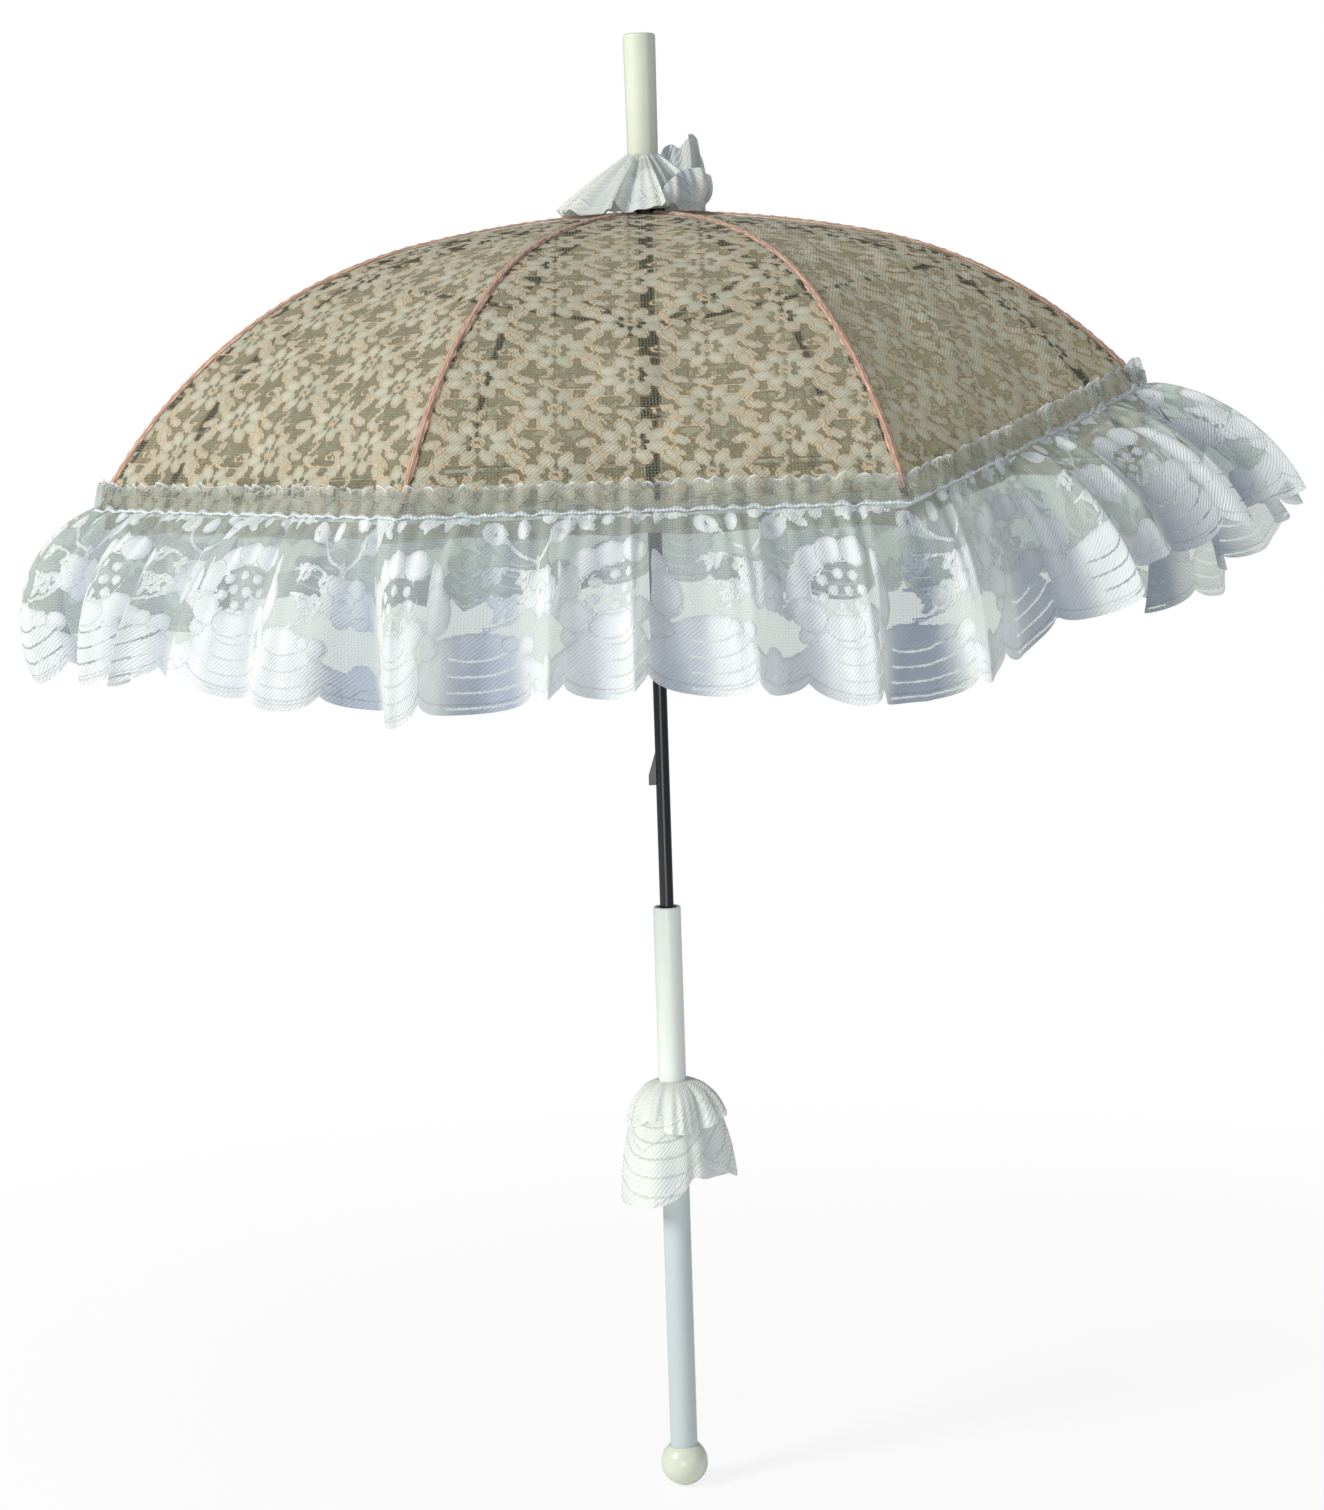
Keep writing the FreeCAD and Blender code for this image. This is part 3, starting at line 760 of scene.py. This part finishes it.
# %% Seam tapes
def tape_shape(number):
    """A ridge over one rib."""
    phi = bearing(number)
    length = min(hem_distance(number), RIB_LENGTH - 2 * MM)

    def shape(x, t):
        distance = 0.006 + (length - 0.006) * t
        wide = (1.9 + 0.3 * np.sin(distance * 300 + number) + 0.25 * np.sin(distance * 730)) * MM
        wander = 0.5 * MM * np.sin(distance * 70 + number * 2.1)
        crumple = 0.8 + 0.2 * np.sin(distance * 900 + 2 * number) * np.sin(x * 4 + number)
        lift = CLOTH_LIFT + 0.2 * MM + 1.4 * MM * crumple * np.sqrt(np.clip(1 - x ** 2, 0, 1))
        reach, height, slope = rib_at(distance, lift)
        aside = x * wide + wander * (1 - t) * t * 4
        drop = np.abs(aside) * math.tan(HALF) * np.sin(slope)
        points = placed(reach - drop * 0.6, phi, height - drop * 0.2, aside)
        return points, aside / MM, distance / MM, {}
    return shape


for number in RIBS:
    cloth(f"seam_tape_{number}", 8, 220, tape_shape(number), tape_material, away,
          f"rib_{number}", "ecru_lace")
print("seam tapes", len(RIBS))

# %% [markdown]
# The flounce is a straight strip of scalloped lace, longer than the rim and gathered on to
# it. Its folds start as small pleats at the stitching and open into wide waves at the edge.
# Waves that are whole numbers of turns round the parasol meet at every join.

# %% Flounce waves
FLOUNCE_REACH = 325 * MM
PUFF_BEARING = math.radians(192)       # the far left, where the flounce stands out and curls in
PANEL_FLAT = 322.0                     # mm of flat lace gathered on to each eighth
HEM_RADIUS = 285                       # mm, turns a bearing into a length along the hem
dice = random.Random(7)
WAVES = [(turns, share, dice.uniform(0, math.tau))
         for turns, share in ((23, 0.8), (29, 1.0), (37, 0.8), (43, 0.6), (52, 0.45), (67, 0.3))]
PLEATS = [(turns, share, dice.uniform(0, math.tau))
          for turns, share in ((97, 0.8), (149, 1.0), (187, 0.8), (223, 0.7))]


def wave(theta, table, shift=0.0):
    """A sum of waves round the rim, about -1 to 1."""
    total = sum(share * np.sin(turns * theta + phase + shift) for turns, share, phase in table)
    return total / math.sqrt(sum(share ** 2 for _, share, _ in table)) / 1.25


def hem_line(number, x, lift=CLOTH_LIFT):
    """Points along the hem, with their bearing and slope."""
    along, aside, height, slope, middle = gore_point(number, x, spread_hem(number, x), lift)
    theta = middle + np.arctan2(aside, along)
    return np.hypot(along, aside), height, slope, theta


def flounce_point(number, x, down):
    """A point on the flounce, `down` mm below the stitching, and how much shade to paint on it for
    lying deep in a fold.
    """
    reach, height, slope, theta = hem_line(number, x)
    octagon = math.cos(HALF) / np.cos((theta - bearing(1) + HALF) % (2 * HALF) - HALF)
    raised = (hem_distance(1) - spread_hem(number, x)) / HEM_SLIP
    outer = FLOUNCE_REACH * (0.45 * octagon + 0.55 * 0.955) + 20 * MM * raised ** 2
    puff = peak_at(theta, PUFF_BEARING, 0.42)
    spread = np.clip((outer - reach) / HUNG_DEPTH + 0.04 * puff, 0.2, 0.9)
    mean = np.arccos(spread)
    share = down / RIM_DEPTH
    bend = 0.34 + 0.22 * raised + 0.56 * puff
    first, last = mean - bend, mean + bend * 0.9
    angle = first + (last - first) * share
    run = HUNG_DEPTH * (np.sin(angle) - np.sin(first)) / (last - first)
    fall = HUNG_DEPTH * (np.cos(first) - np.cos(angle)) / (last - first)
    open_fold = np.clip(share, 0, 1) ** 0.6
    big, slide = wave(theta, WAVES), wave(theta, WAVES, math.pi / 2)
    fine = wave(theta, PLEATS) * np.exp(-share * 2.2)
    push = (12.5 * open_fold * big + 2.0 * fine * np.clip(share * 12, 0, 1)) * MM
    skid = 7.0 * MM * open_fold * slide
    radius = reach + run + push * np.sin(angle)
    turn = theta + skid / np.maximum(radius, 0.01)
    z = height - fall + push * np.cos(angle) * 0.6
    # painted shade, deepest where the waves and pleats turn inward
    painted_shade = np.clip(0.08 - 1.0 * big * open_fold - 0.45 * fine, 0, 1)
    return placed(radius, turn, z), painted_shade


def flounce_shape(number):
    """Shape of one eighth of the flounce."""
    def shape(x, t):
        u = ((x + 1) / 2 + number - 1) * PANEL_FLAT
        v = (1 - t) * scallop_edge(u)
        points, painted_shade = flounce_point(number, x, v)
        field, cord, rings = rim_lace(u, v)
        return points, u, v, {"thread": field, "cord": cord, "fold": painted_shade * 0.85, "rings": rings}
    return shape


for number in RIBS:
    piece = cloth(f"flounce_{number}", 258, 80, flounce_shape(number), white_material, away,
                  f"rim_{number}", "white_lace")
    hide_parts(f"rim_ruffle_{number}")
print("flounce area", round(area_of(piece), 4), "flat", round(0.322 * 0.097, 4))

# %% [markdown]
# Above the stitching the same strip stands up as a short heading of net with a tiny looped
# edge, and a rolled hem of the canopy shows just below it.

# %% Heading, stitching and hem
def heading_height(u):
    """How tall the heading stands at u, in mm, up to its looped edge."""
    return 10.6 + 2.2 * np.abs(np.sin(u / 11.5 * math.pi)) ** 0.6


def heading_shape(number):
    """The short frill that stands above the stitching."""
    def shape(x, t):
        u = ((x + 1) / 2 + number - 1) * PANEL_FLAT
        full = heading_height(u)
        tall = full * t
        reach, height, slope, theta = hem_line(number, x, CLOTH_LIFT + 1.2 * MM)
        lean = slope + 0.12
        stand = 0.3 + 0.7 * t
        flop = (wave(theta, PLEATS) * 2.9 + wave(theta, WAVES, 1.0) * 1.4 + 2.4) * MM * stand
        radius = reach - tall * MM * np.cos(lean) + flop * np.sin(lean) + 0.3 * MM
        z = height + tall * MM * np.sin(lean) + flop * np.cos(lean)
        points = placed(radius, theta, z)
        bars = np.abs((u + 1.0) % 2.3 - 1.15) - 0.3
        field = full - 1.3 - tall
        field = np.minimum(field, np.where(full - tall < 4.5, bars, 3.0))
        # painted shade deep in the heading's pleats
        painted_shade = np.clip(0.25 - 0.7 * wave(theta, PLEATS) - 0.3 * wave(theta, WAVES, 1.0), 0, 1)
        return points, u, -tall, {"thread": field, "cord": full - tall, "fold": painted_shade * 0.9}
    return shape


def stitch_shape(number):
    """A crinkled bead of thread along the gather."""
    def shape(x, t):
        reach, height, _, theta = hem_line(number, x, CLOTH_LIFT + 1.0 * MM)
        around = t * math.tau
        thick = (0.75 + 0.12 * np.sin(theta * 420) + 0.4 * wave(theta, PLEATS)) * MM
        jog = wave(theta, PLEATS, 0.5) * 0.7 * MM
        radius = reach + thick * np.cos(around)
        z = height + jog + thick * 1.1 * np.sin(around)
        points = placed(radius, theta, z)
        return points, theta * HEM_RADIUS, around, {}
    return shape


def hem_shape(number):
    """The canopy's own rolled hem, inside the flounce."""
    def shape(x, t):
        reach, height, slope, theta = hem_line(number, x, CLOTH_LIFT - 4.5 * MM)
        down = (1 - t) * (9.0 + 1.2 * wave(theta, WAVES, 2.0)) * MM
        tuck = 0.6 * MM * np.sin(t * math.pi)
        radius = reach + down * np.cos(slope) * 0.3 + tuck
        z = height - down * np.sin(slope) - tuck * 0.4
        points = placed(radius, theta, z)
        u, v = theta * HEM_RADIUS, down / MM
        field, cord = cover_lace(u, v + 6)
        # a light, even painted shade over the whole hem
        return points, u, v, {"thread": field, "cord": np.minimum(cord, v), "fold": 0.2}
    return shape


for number in RIBS:
    body = f"rib_{number}"
    heading = cloth(f"flounce_heading_{number}", 322, 14, heading_shape(number), heading_material,
                    away, body, "white_lace")
    cloth(f"gather_stitching_{number}", 260, 8, stitch_shape(number), stitch_material, away,
          body, "white_lace", closed=True)
    cloth(f"canopy_hem_{number}", 160, 8, hem_shape(number), cover_material, away,
          body, "ecru_lace")

# %% [markdown]
# A strip of the same lace is tied round the ferrule where it meets the crown. It lies on the
# canopy as a low ruffled skirt, widest on the left, and its end stands up as a cup on the right.

# %% Crown frill
CROWN_WAVES = [(9, 1.0, 0.4), (13, 0.8, 2.0), (6, 0.6, 4.0), (23, 0.5, 1.0), (41, 0.35, 0.2)]
CROWN_FLAT = 2 * RIM_REPEAT            # two repeats of the lace
CROWN_DEPTH = 40.0                     # mm
CREST_FLAT = 0.75 * RIM_REPEAT
# reach and height in mm of four points that shape the skirt and the cup
FLAT_SIDE = ((8.6, 700), (15, 694), (30, 685), (46, 670))
CUP_SIDE = ((8.6, 689), (27, 662), (39, 675), (31, 692))


def bezier(points, t):
    """A smooth curve through the first and last of four points."""
    a, b, c, d = points
    s = 1 - t
    return s ** 3 * a + 3 * s * s * t * b + 3 * s * t * t * c + t ** 3 * d


def above_canopy(reach, height, gap):
    """Height in mm, kept clear of the canopy near the crown."""
    ground = rib_at(np.maximum(reach, 9) * MM - 8 * MM, 3.2 * MM)[1] / MM
    return np.maximum(height, ground + gap)


def crown_shape(x, t):
    """A gathered ring that is wide and flat on the left and narrow on the right."""
    theta = (x + 1) * math.pi
    right = (1 + np.cos(theta - 0.2)) / 2
    u = (x + 1) / 2 * CROWN_FLAT
    edge = RIM_DEPTH - scallop_edge(u)
    share = t * (1 - edge / 90)
    swing = wave(theta, CROWN_WAVES)
    push = 4.2 * share ** 0.8 * swing
    reach = bezier([p[0] for p in FLAT_SIDE], share) * (1 - 0.3 * right * share) + push * 0.4
    height = bezier([p[1] for p in FLAT_SIDE], share) + push * 0.75
    height = above_canopy(reach, height, 0.4)
    skid = theta + 0.09 * np.cos(9 * theta + 0.4) * share
    points = placed(reach, skid, height) * MM
    field, cord, _ = rim_lace(u, RIM_DEPTH - edge - (1 - t) * CROWN_DEPTH)
    # painted shade in the frill's folds
    painted_shade = np.clip(0.15 - 0.8 * swing * share, 0, 1)
    return points, u, t * CROWN_DEPTH, {"thread": field - 3.0, "cord": cord,
                                        "fold": painted_shade * 0.6, "rings": 0.0}


def crest_shape(x, t):
    """The end of the strip, curled up into a cup."""
    theta = 1.3 * x + 0.02
    u = (x + 1) / 2 * CREST_FLAT
    edge = RIM_DEPTH - scallop_edge(u)
    share = t * (1 - edge / 90)
    swing = wave(theta, CROWN_WAVES)
    peak = np.exp(-((theta - 0.85) / 0.5) ** 4)
    reach = bezier([p[0] for p in CUP_SIDE], share) + 2.6 * share * swing
    height = bezier([p[1] for p in CUP_SIDE], share) + (23 * peak - 7 * x ** 4) * share ** 2
    height = above_canopy(reach, height, 1.2)
    points = placed(reach, theta, height) * MM
    field, cord, _ = rim_lace(u + 30, RIM_DEPTH - edge - (1 - t) * CROWN_DEPTH)
    # painted shade in the folds of the cup
    painted_shade = np.clip(0.3 - 0.8 * swing * share, 0, 1)
    return points, u, t * CROWN_DEPTH, {"thread": field - 3.0, "cord": cord,
                                        "fold": painted_shade * 0.8, "rings": 0.0}


crown = cloth("crown_frill", 300, 48, crown_shape, frill_material, away, "shaft", "white_lace",
              closed=True)
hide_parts("crown_ruffle")
crest = cloth("crown_frill_crest", 140, 48, crest_shape, frill_material, away, "shaft",
              "white_lace")
for piece in (crown, crest):
    print(piece.name, "area", round(area_of(piece), 5))

# %% [markdown]
# Halfway down the grip a second strip is gathered tight at its top and falls round the tube
# in a few large lobes, longest on the left. A shorter layer lies over it, with one corner
# pushed out on the right.

# %% Grip frill
GRIP_WAVES = [(5, 1.0, 1.3), (7, 0.7, 3.0), (12, 0.4, 0.2)]
GRIP_FLAT = RIM_REPEAT                 # one repeat of the lace goes round the grip
GRIP_DEPTH = 68.0                      # mm
CAPE_DEPTH = 28.0
CAPE_WAVES = [(5, 1.0, 2.5), (8, 0.8, 0.9), (13, 0.7, 4.2), (19, 0.5, 2.2), (31, 0.3, 0.5)]
SKIRT = ((7.6, 217), (20, 218), (29, 191), (28, 154))
CAPE = ((7.7, 221), (16.5, 219.5), (23, 214), (23.5, 191))


def grip_shape(x, t):
    """The long layer."""
    theta = (x + 1) * math.pi
    u = (x + 1) / 2 * GRIP_FLAT
    edge = RIM_DEPTH - scallop_edge(u)
    left = peak_at(theta, -2.45, 0.95, 4)
    flap = peak_at(theta, 0.15, 0.35)
    notch = peak_at(theta, -1.15, 0.3)
    length = 0.84 + 0.14 * left - 0.03 * notch + 0.06 * flap - edge / 260
    share = (1 - t) * length
    swing = wave(theta, GRIP_WAVES)
    loose = (swing * (2.6 - 1.2 * left) + 4.0 * flap - 4.5 * notch) * share ** 0.8
    reach = np.maximum(bezier([p[0] for p in SKIRT], share) + loose + 1.2 * left * share, 7.7)
    height = bezier([p[1] for p in SKIRT], share)
    skid = theta + 0.10 * np.cos(5 * theta + 1.3) * share
    points = placed(reach, skid, height) * MM
    v = RIM_DEPTH - edge - t * GRIP_DEPTH
    field, cord, _ = rim_lace(u + 20, v)
    down = share * GRIP_DEPTH
    rings = np.hypot(np.angle(np.exp(1j * (theta + 2.0))) * 22, down - 12.0)
    # painted shade in the folds and in the pushed-in notch
    painted_shade = np.clip(0.1 - 0.6 * swing * share + 0.6 * notch, 0, 1)
    return points, u, v, {"thread": field - 9.0, "cord": cord, "fold": painted_shade * 0.4,
                          "rings": np.where(down > 22, rings, 0.0)}


def cape_shape(x, t):
    """The short layer over it."""
    theta = (x + 1) * math.pi
    u = (x + 1) / 2 * GRIP_FLAT
    edge = RIM_DEPTH - scallop_edge(u)
    flap = peak_at(theta, -0.35, 0.3)
    share = (1 - t) * (0.9 - edge / 60)
    swing = wave(theta, CAPE_WAVES)
    reach = bezier([p[0] for p in CAPE], share) + swing * 2.2 * share ** 0.9
    reach = reach + flap * 7.5 * share ** 2 + 1.2 * share
    height = bezier([p[1] for p in CAPE], share) + flap * 2.5 * share
    height = height - 2.5 * np.cos(theta + 2.6) * share
    points = placed(reach, theta, height) * MM
    v = RIM_DEPTH - edge - t * CAPE_DEPTH
    field, cord, _ = rim_lace(u + 64, v)
    # painted shade in the folds of the short layer
    painted_shade = np.clip(0.1 - 0.6 * swing * share, 0, 1)
    return points, u, v, {"thread": field - 9.0, "cord": cord, "fold": painted_shade * 0.6, "rings": 0.0}


for name, rows, shape, depth in (("grip_frill", 80, grip_shape, 0.068),
                                 ("grip_frill_cape", 34, cape_shape, 0.028)):
    piece = cloth(name, 280, rows, shape, frill_material, away, "shaft", "white_lace", closed=True)
    print(name, "area", round(area_of(piece), 5), "flat", round(0.1288 * depth, 5))
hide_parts("handle_ruffle")

# %% [markdown]
# When the frame folds, real cloth hangs in pleats between the ribs. Here each piece on a rib
# only gets a mesh of its own.

# %% Meshes of their own
for number in RIBS:
    for name in ("canopy_lace", "flounce", "flounce_heading", "gather_stitching", "canopy_hem"):
        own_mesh(bpy.data.objects[f"{name}_{number}"])

# %% [markdown]
# The stage is a plain white sweep. Its surface answers camera rays with most of its light as
# plain white, so it comes out white and still keeps the object's shadow.

# %% Stage and light
def sweep_paper():
    """Matt white background paper."""
    material, tree = new_material("white_background_paper")
    place = add(tree, "TexCoord", out=3)
    grain = noise(tree, place, 400.0, 2.0)
    colour = add(tree, "MixRGB", (grain, linear("#F4F4F4"), linear("#FCFCFC")))
    paper = add(tree, "BsdfDiffuse", {"Color": colour})
    bright = add(tree, "Emission", {"Color": (1, 1, 1, 1), "Strength": 1.0})
    seen = add(tree, "LightPath")
    # the shadow is only near the object, and the paper fades to plain white around it
    away_mm = add(tree, "VectorMath", (place,), operation="LENGTH", out=1)
    plain = remap(tree, away_mm, (0.15, 0.9), (0.84, 1.0))
    share = add(tree, "Math", (seen, plain), operation="MULTIPLY")
    shader = add(tree, "MixShader", (share, paper, bright))
    return surface(material, shader)


bm = bmesh.new()
bmesh.ops.create_grid(bm, x_segments=2, y_segments=2, size=12.0)
floor_mesh = bpy.data.meshes.new("floor")
bm.to_mesh(floor_mesh)
bm.free()
floor_mesh.materials.append(sweep_paper())
floor = bpy.data.objects.new("floor", floor_mesh)
COLLECTION.objects.link(floor)

world = bpy.data.worlds.new("studio")
world.use_nodes = True
world.node_tree.nodes.clear()
seen = add(world.node_tree, "LightPath")
soft = add(world.node_tree, "Background", {"Color": linear("#E9EEF5"), "Strength": 0.40})
white = add(world.node_tree, "Background", {"Color": (1, 1, 1, 1), "Strength": 1.0})
both = add(world.node_tree, "MixShader", (seen, soft, white))
add(world.node_tree, "OutputWorld", (both,))
bpy.context.scene.world = world
bpy.context.scene.view_settings.view_transform = "Standard"


def area_light(name, place, aim, size, power, tint):
    """A soft box."""
    data = bpy.data.lights.new(name, "AREA")
    data.shape = "DISK"
    data.size = size
    data.energy = power
    data.color = linear(tint)[:3]
    light = bpy.data.objects.new(name, data)
    light.matrix_world = Matrix.Translation(place) @ (
        Vector(aim) - Vector(place)).to_track_quat("-Z", "Y").to_matrix().to_4x4()
    COLLECTION.objects.link(light)


area_light("key", (-2.05, -1.25, 1.7), (0, 0, 0.5), 0.9, 64.0, "#FFFDFA")
area_light("fill", (1.5, -1.6, 0.9), (0, 0, 0.45), 1.2, 4.5, "#EAF0FF")
area_light("inside", (-0.1, -1.5, 0.12), (0, 0.1, 0.62), 0.7, 5.0, "#FFFFFF")
print("stage and lights", len(bpy.data.lights))
